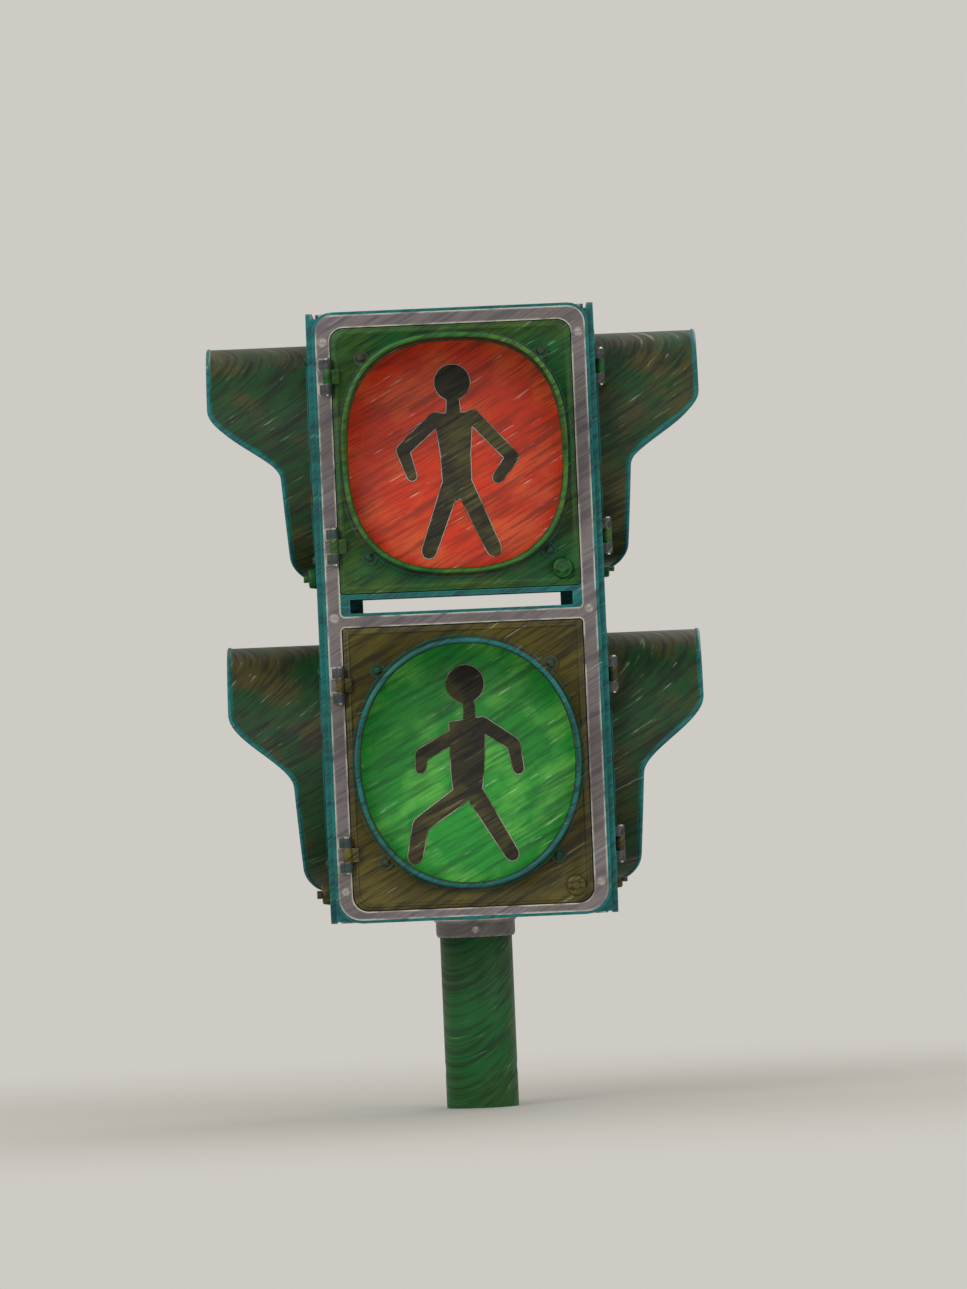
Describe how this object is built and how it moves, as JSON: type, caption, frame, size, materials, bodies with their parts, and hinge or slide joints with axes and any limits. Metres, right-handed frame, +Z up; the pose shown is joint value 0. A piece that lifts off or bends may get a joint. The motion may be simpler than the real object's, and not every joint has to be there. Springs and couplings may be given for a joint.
{
  "type": "pedestrian signal head",
  "caption": "Post-top pedestrian signal for three directions: red standing-figure sections over green walking-figure sections, with hinged hooded doors and an open slot between.",
  "frame": {"origin": "middle of the post's open foot, on the post's axis", "axes": "+Z up along the post; -Y out of the front face; +X to the viewer's right, out of the right face"},
  "size_m": [0.494, 0.393, 0.806],
  "materials": {
    "case_paint": "dark teal-green enamel on cast aluminium",
    "red_door_paint": "deep green enamel on cast aluminium",
    "green_door_paint": "green enamel weathered to olive on cast aluminium",
    "red_visor_paint": "deep green enamel on sheet aluminium",
    "green_visor_paint": "green enamel weathered to olive on sheet aluminium",
    "frame_paint": "satin grey enamel on cast aluminium",
    "collar_paint": "satin grey enamel on cast aluminium",
    "post_paint": "dark green enamel on steel tube",
    "red_lens": "red-orange prismatic polycarbonate",
    "green_lens": "green prismatic polycarbonate",
    "figure_mask": "matt black mask on the lens",
    "seal_rubber": "black rubber",
    "steel_fixings": "stainless steel",
    "galvanised": "galvanised steel",
    "latch_metal": "black enamel on die-cast metal",
    "reflector_metal": "bright spun aluminium",
    "lamp_glass": "frosted glass",
    "holder_plastic": "black phenolic",
    "block_plastic": "ivory phenolic",
    "lead_insulation": "black insulation"
  },
  "bodies": {
    "post": {"post": "post_paint", "mounting_collar": "collar_paint", "collar_set_screws": "steel_fixings", "hub_nipple": "galvanised", "lock_washer": "galvanised", "lock_nut": "galvanised"},
    "head": {"upper_chamber": "case_paint", "lower_chamber": "case_paint", "front_frame": "frame_paint", "left_frame": "frame_paint", "right_frame": "frame_paint", "upper_rear_cover": "red_door_paint", "lower_rear_cover": "green_door_paint", "rear_cover_seals": "seal_rubber", "door_seals": "seal_rubber", "hinge_pins": "steel_fixings", "reflectors": "reflector_metal", "lamps": "lamp_glass", "lamp_holders": "holder_plastic", "tie_rods": "galvanised", "case_screws": "steel_fixings", "top_plug": "case_paint", "terminal_block": "block_plastic", "wiring_loom": "lead_insulation"},
    "red_front_door": {"red_front_door": "red_door_paint", "red_front_visor": "red_visor_paint", "red_front_lens": "red_lens", "red_front_figure": "figure_mask", "red_front_lens_seal": "seal_rubber"},
    "red_front_latch": {"red_front_latch": "latch_metal"},
    "red_left_door": {"red_left_door": "red_door_paint", "red_left_visor": "red_visor_paint", "red_left_lens": "red_lens", "red_left_figure": "figure_mask", "red_left_lens_seal": "seal_rubber"},
    "red_left_latch": {"red_left_latch": "latch_metal"},
    "red_right_door": {"red_right_door": "red_door_paint", "red_right_visor": "red_visor_paint", "red_right_lens": "red_lens", "red_right_figure": "figure_mask", "red_right_lens_seal": "seal_rubber"},
    "red_right_latch": {"red_right_latch": "latch_metal"},
    "green_front_door": {"green_front_door": "green_door_paint", "green_front_visor": "green_visor_paint", "green_front_lens": "green_lens", "green_front_figure": "figure_mask", "green_front_lens_seal": "seal_rubber"},
    "green_front_latch": {"green_front_latch": "latch_metal"},
    "green_left_door": {"green_left_door": "green_door_paint", "green_left_visor": "green_visor_paint", "green_left_lens": "green_lens", "green_left_figure": "figure_mask", "green_left_lens_seal": "seal_rubber"},
    "green_left_latch": {"green_left_latch": "latch_metal"},
    "green_right_door": {"green_right_door": "green_door_paint", "green_right_visor": "green_visor_paint", "green_right_lens": "green_lens", "green_right_figure": "figure_mask", "green_right_lens_seal": "seal_rubber"},
    "green_right_latch": {"green_right_latch": "latch_metal"}
  },
  "joints": [
    {"name": "head_swivel", "type": "hinge", "parent": "post", "child": "head", "pos_m": [0, 0, 0.191], "axis": [0, 0, 1], "range_deg": [-90, 90]},
    {"name": "red_front_hinge", "type": "hinge", "parent": "head", "child": "red_front_door", "pos_m": [-0.124, -0.149, 0.6565], "axis": [0, 0, -1], "range_deg": [0, 100]},
    {"name": "red_front_latch_turn", "type": "hinge", "parent": "red_front_door", "child": "red_front_latch", "pos_m": [0.1025, -0.148, 0.541], "axis": [0, -1, 0], "range_deg": [0, 90]},
    {"name": "red_left_hinge", "type": "hinge", "parent": "head", "child": "red_left_door", "pos_m": [-0.149, 0.124, 0.6565], "axis": [0, 0, -1], "range_deg": [0, 100]},
    {"name": "red_left_latch_turn", "type": "hinge", "parent": "red_left_door", "child": "red_left_latch", "pos_m": [-0.148, -0.1025, 0.541], "axis": [-1, 0, 0], "range_deg": [0, 90]},
    {"name": "red_right_hinge", "type": "hinge", "parent": "head", "child": "red_right_door", "pos_m": [0.149, -0.124, 0.6565], "axis": [0, 0, -1], "range_deg": [0, 100]},
    {"name": "red_right_latch_turn", "type": "hinge", "parent": "red_right_door", "child": "red_right_latch", "pos_m": [0.148, 0.1025, 0.541], "axis": [1, 0, 0], "range_deg": [0, 90]},
    {"name": "green_front_hinge", "type": "hinge", "parent": "head", "child": "green_front_door", "pos_m": [-0.124, -0.149, 0.34775], "axis": [0, 0, -1], "range_deg": [0, 100]},
    {"name": "green_front_latch_turn", "type": "hinge", "parent": "green_front_door", "child": "green_front_latch", "pos_m": [0.1025, -0.148, 0.2235], "axis": [0, -1, 0], "range_deg": [0, 90]},
    {"name": "green_left_hinge", "type": "hinge", "parent": "head", "child": "green_left_door", "pos_m": [-0.149, 0.124, 0.34775], "axis": [0, 0, -1], "range_deg": [0, 100]},
    {"name": "green_left_latch_turn", "type": "hinge", "parent": "green_left_door", "child": "green_left_latch", "pos_m": [-0.148, -0.1025, 0.2235], "axis": [-1, 0, 0], "range_deg": [0, 90]},
    {"name": "green_right_hinge", "type": "hinge", "parent": "head", "child": "green_right_door", "pos_m": [0.149, -0.124, 0.34775], "axis": [0, 0, -1], "range_deg": [0, 100]},
    {"name": "green_right_latch_turn", "type": "hinge", "parent": "green_right_door", "child": "green_right_latch", "pos_m": [0.148, 0.1025, 0.2235], "axis": [1, 0, 0], "range_deg": [0, 90]}
  ]
}
